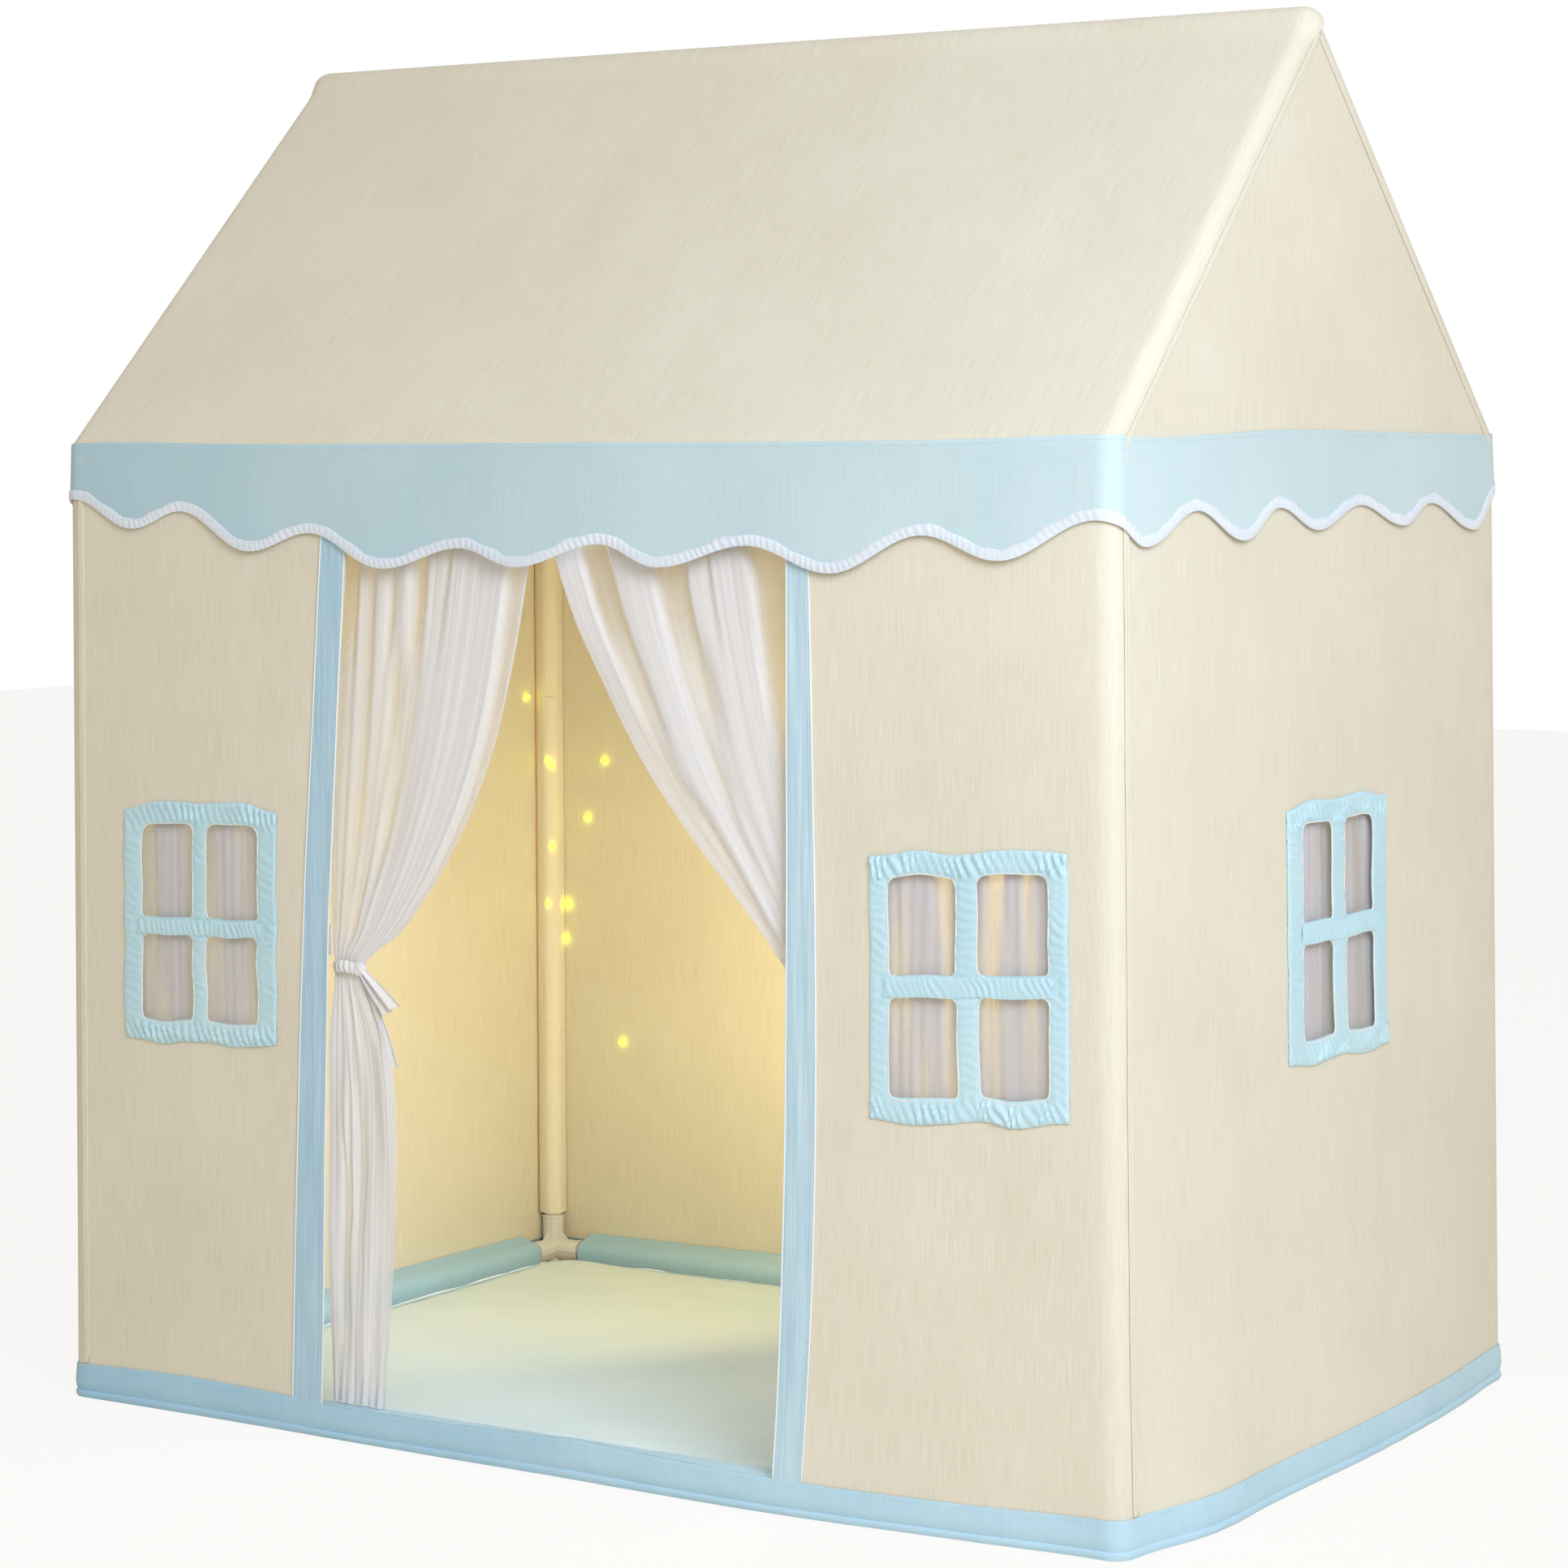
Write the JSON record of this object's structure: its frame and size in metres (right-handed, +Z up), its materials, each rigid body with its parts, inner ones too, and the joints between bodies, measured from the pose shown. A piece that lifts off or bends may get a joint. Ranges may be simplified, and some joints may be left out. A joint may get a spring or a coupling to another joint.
{
  "type": "kids play tent",
  "caption": "House-shaped children's play tent: tube frame, cream cloth cover, blue scalloped valance and trims, sheer door curtains, windows and floor mat.",
  "frame": {"origin": "on the ground under the middle of the tent", "axes": "+Z up, +Y towards the back, +X to the right as seen from the front"},
  "size_m": [1.221, 0.841, 1.366],
  "materials": {
    "fitting_plastic": "moulded, satin",
    "tube_plastic": "extruded, smooth",
    "cream_canvas": "plain-woven cotton canvas",
    "blue_cotton": "plain-woven cotton",
    "white_tulle": "sheer net",
    "mat_cotton": "padded cotton"
  },
  "bodies": {
    "tent": {"foot_fitting_front_left": "fitting_plastic", "eave_fitting_front_left": "fitting_plastic", "foot_fitting_front_right": "fitting_plastic", "eave_fitting_front_right": "fitting_plastic", "foot_fitting_back_left": "fitting_plastic", "eave_fitting_back_left": "fitting_plastic", "foot_fitting_back_right": "fitting_plastic", "eave_fitting_back_right": "fitting_plastic", "ridge_fitting_left": "fitting_plastic", "ridge_fitting_right": "fitting_plastic", "post_front_left": "tube_plastic", "rafter_front_left": "tube_plastic", "post_front_right": "tube_plastic", "rafter_front_right": "tube_plastic", "post_back_left": "tube_plastic", "rafter_back_left": "tube_plastic", "post_back_right": "tube_plastic", "rafter_back_right": "tube_plastic", "base_rail_front": "tube_plastic", "base_rail_back": "tube_plastic", "base_rail_left": "tube_plastic", "base_rail_right": "tube_plastic", "eave_rail_front": "tube_plastic", "eave_rail_back": "tube_plastic", "eave_rail_left": "tube_plastic", "eave_rail_right": "tube_plastic", "ridge_pole": "tube_plastic", "front_wall_left": "cream_canvas", "front_wall_right": "cream_canvas", "door_header": "cream_canvas", "back_wall": "cream_canvas", "end_wall_left": "cream_canvas", "end_wall_right": "cream_canvas", "roof_front": "cream_canvas", "roof_back": "cream_canvas", "hem_band_front": "blue_cotton", "valance_front": "blue_cotton", "hem_band_back": "blue_cotton", "valance_back": "blue_cotton", "hem_band_left": "blue_cotton", "valance_left": "blue_cotton", "hem_band_right": "blue_cotton", "valance_right": "blue_cotton", "door_trim_left": "blue_cotton", "door_trim_right": "blue_cotton", "front_left_window_frame": "blue_cotton", "front_left_window_sheer": "white_tulle", "front_right_window_frame": "blue_cotton", "front_right_window_sheer": "white_tulle", "end_window_frame": "blue_cotton", "end_window_sheer": "white_tulle", "left_tie_tab": "white_tulle", "right_tie_tab": "white_tulle"},
    "left_curtain": {"left_curtain": "white_tulle", "left_tie": "white_tulle"},
    "right_curtain": {"right_curtain": "white_tulle", "right_tie": "white_tulle"},
    "floor_mat": {"floor_mat": "mat_cotton"}
  },
  "joints": [
    {"name": "left_curtain_swing", "type": "hinge", "parent": "tent", "child": "left_curtain", "pos_m": [0, -0.4074, 0.915], "axis": [1, 0, 0], "range_deg": [0, 60]},
    {"name": "right_curtain_swing", "type": "hinge", "parent": "tent", "child": "right_curtain", "pos_m": [0, -0.4074, 0.915], "axis": [1, 0, 0], "range_deg": [0, 60]},
    {"name": "floor_mat_lift", "type": "slide", "parent": "tent", "child": "floor_mat", "axis": [0, 0, 1], "range_m": [0, 0.1]}
  ]
}
